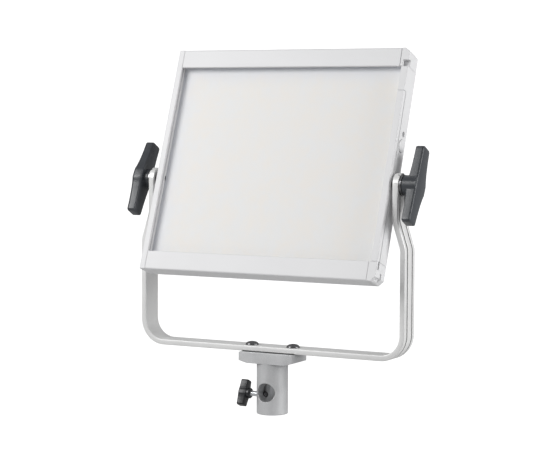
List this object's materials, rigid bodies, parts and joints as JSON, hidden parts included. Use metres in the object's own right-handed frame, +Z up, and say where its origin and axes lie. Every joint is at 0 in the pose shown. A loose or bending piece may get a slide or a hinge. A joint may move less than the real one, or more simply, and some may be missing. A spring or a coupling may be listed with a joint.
{
  "type": "led panel light",
  "caption": "Square soft-light panel with an opal face, tilting in a flat U-shaped yoke with winged lock handles and a spigot socket with a clamp screw.",
  "frame": {"origin": "centre of the spigot socket's lower mouth", "axes": "+Z up along the socket, -Y the way the light faces, +X along the tilt axis"},
  "size_m": [0.3674, 0.1578, 0.4249],
  "materials": {
    "anodised": "satin anodised extrusion",
    "cast": "fine sand-cast, lightly blasted",
    "white_paint": "fine white powder coat on aluminium",
    "white_housing": "fine white textured moulding",
    "white_reflector": "matt white reflector sheet",
    "opal_diffuser": "opal acrylic, satin",
    "board_laminate": "solder-masked board",
    "bare_aluminium": "extruded, as drawn",
    "steel_can": "folded sheet",
    "bright_steel": "turned, bright",
    "dark_screw": "black oxide",
    "handle_grey": "moulded, fine texture",
    "gloss_black": "moulded, glossy",
    "black_knob": "moulded, satin",
    "black_connector": "black chromated",
    "dark_panel": "printed film on plastic",
    "display_glass": "tinted window",
    "friction_fibre": "pressed fibre"
  },
  "bodies": {
    "yoke": {"yoke_strap": "anodised", "socket_casting": "cast", "socket_screw_left": "dark_screw", "socket_screw_right": "dark_screw"},
    "clamp_end": {"clamp_pad": "dark_screw"},
    "clamp_screw": {"clamp_bolt": "bright_steel", "clamp_knob": "gloss_black"},
    "gate": {"slot_gate": "white_paint"},
    "release_button": {"side_button": "white_paint"},
    "rocker": {"power_rocker": "black_knob"},
    "washer_left": {"outer_washer_left": "dark_screw"},
    "handle_left": {"tilt_stud_left": "bright_steel", "tilt_handle_left": "handle_grey"},
    "washer_right": {"outer_washer_right": "dark_screw"},
    "handle_right": {"tilt_stud_right": "bright_steel", "tilt_handle_right": "handle_grey"},
    "dimmer_knob_body": {"dimmer_knob": "black_knob"},
    "colour_knob_body": {"colour_knob": "black_knob"},
    "menu_knob_body": {"menu_knob": "black_knob"},
    "button_1": {"push_button_1": "black_knob"},
    "button_2": {"push_button_2": "black_knob"},
    "button_3": {"push_button_3": "black_knob"},
    "button_4": {"push_button_4": "black_knob"},
    "head": {"top_rail": "white_paint", "bottom_rail": "white_paint", "left_rail": "white_paint", "right_rail": "white_paint", "cap_top_right": "white_paint", "cap_bottom_right": "white_paint", "gate_pin_top": "bright_steel", "gate_pin_bottom": "bright_steel", "diffuser_panel": "opal_diffuser", "mixing_chamber": "white_reflector", "light_board": "board_laminate", "heat_sink": "bare_aluminium", "rear_housing": "white_housing", "power_supply": "steel_can", "control_board": "board_laminate", "control_panel": "dark_panel", "display_window": "display_glass", "power_inlet": "black_connector", "data_in_socket": "black_connector", "data_out_socket": "black_connector", "friction_disc_left": "friction_fibre", "friction_disc_right": "friction_fibre", "rear_screw_1": "dark_screw", "rear_screw_2": "dark_screw", "rear_screw_3": "dark_screw", "rear_screw_4": "dark_screw"}
  },
  "joints": [
    {"name": "head_tilt", "type": "hinge", "parent": "yoke", "child": "head", "pos_m": [0, 0.002, 0.2701], "axis": [1, 0, 0], "range_deg": [-70, 110]},
    {"name": "clamp_travel", "type": "slide", "parent": "yoke", "child": "clamp_end", "axis": [-1, 0, 0], "range_m": [-0.005, 0.0025]},
    {"name": "clamp_turn", "type": "hinge", "parent": "clamp_end", "child": "clamp_screw", "pos_m": [-0.02835, 0, 0.0212], "axis": [-1, 0, 0], "range_deg": [-1440, 720]},
    {"name": "gate_swing", "type": "hinge", "parent": "head", "child": "gate", "pos_m": [0.1508, -0.00779, 0.27362], "axis": [0, 0.3387, 0.9409], "range_deg": [0, 95]},
    {"name": "release_press", "type": "slide", "parent": "head", "child": "release_button", "axis": [-1, 0, 0], "range_m": [0, 0.0015], "stiffness_N_per_m": 500},
    {"name": "rocker_switch", "type": "hinge", "parent": "head", "child": "rocker", "pos_m": [0.0855, 0.04291, 0.18948], "axis": [1, 0, 0], "range_deg": [-6, 6]},
    {"name": "washer_travel_left", "type": "slide", "parent": "head", "child": "washer_left", "axis": [-1, 0, 0], "range_m": [0, 0.00125]},
    {"name": "handle_turn_left", "type": "hinge", "parent": "washer_left", "child": "handle_left", "pos_m": [-0.16565, 0.002, 0.2701], "axis": [-1, 0, 0], "range_deg": [0, 360]},
    {"name": "washer_travel_right", "type": "slide", "parent": "head", "child": "washer_right", "axis": [1, 0, 0], "range_m": [0, 0.00125]},
    {"name": "handle_turn_right", "type": "hinge", "parent": "washer_right", "child": "handle_right", "pos_m": [0.16565, 0.002, 0.2701], "axis": [1, 0, 0], "range_deg": [0, 360]},
    {"name": "dimmer_knob_turn", "type": "hinge", "parent": "head", "child": "dimmer_knob_body", "pos_m": [-0.0055, 0.05456, 0.22036], "axis": [0, -0.9409, 0.3387], "continuous": true},
    {"name": "colour_knob_turn", "type": "hinge", "parent": "head", "child": "colour_knob_body", "pos_m": [0.0385, 0.05456, 0.22036], "axis": [0, -0.9409, 0.3387], "continuous": true},
    {"name": "menu_knob_turn", "type": "hinge", "parent": "head", "child": "menu_knob_body", "pos_m": [0.0825, 0.05456, 0.22036], "axis": [0, -0.9409, 0.3387], "continuous": true},
    {"name": "button_1_press", "type": "slide", "parent": "head", "child": "button_1", "axis": [0, -0.9409, 0.3387], "range_m": [0, 0.0012], "stiffness_N_per_m": 500},
    {"name": "button_2_press", "type": "slide", "parent": "head", "child": "button_2", "axis": [0, -0.9409, 0.3387], "range_m": [0, 0.0012], "stiffness_N_per_m": 500},
    {"name": "button_3_press", "type": "slide", "parent": "head", "child": "button_3", "axis": [0, -0.9409, 0.3387], "range_m": [0, 0.0012], "stiffness_N_per_m": 500},
    {"name": "button_4_press", "type": "slide", "parent": "head", "child": "button_4", "axis": [0, -0.9409, 0.3387], "range_m": [0, 0.0012], "stiffness_N_per_m": 500}
  ],
  "couplings": [
    {"joint": "clamp_turn", "follows": "clamp_travel", "rad_per_m": 5026.5},
    {"joint": "washer_travel_left", "follows": "handle_turn_left", "m_per_rad": 0.00019894},
    {"joint": "washer_travel_right", "follows": "handle_turn_right", "m_per_rad": 0.00019894}
  ]
}
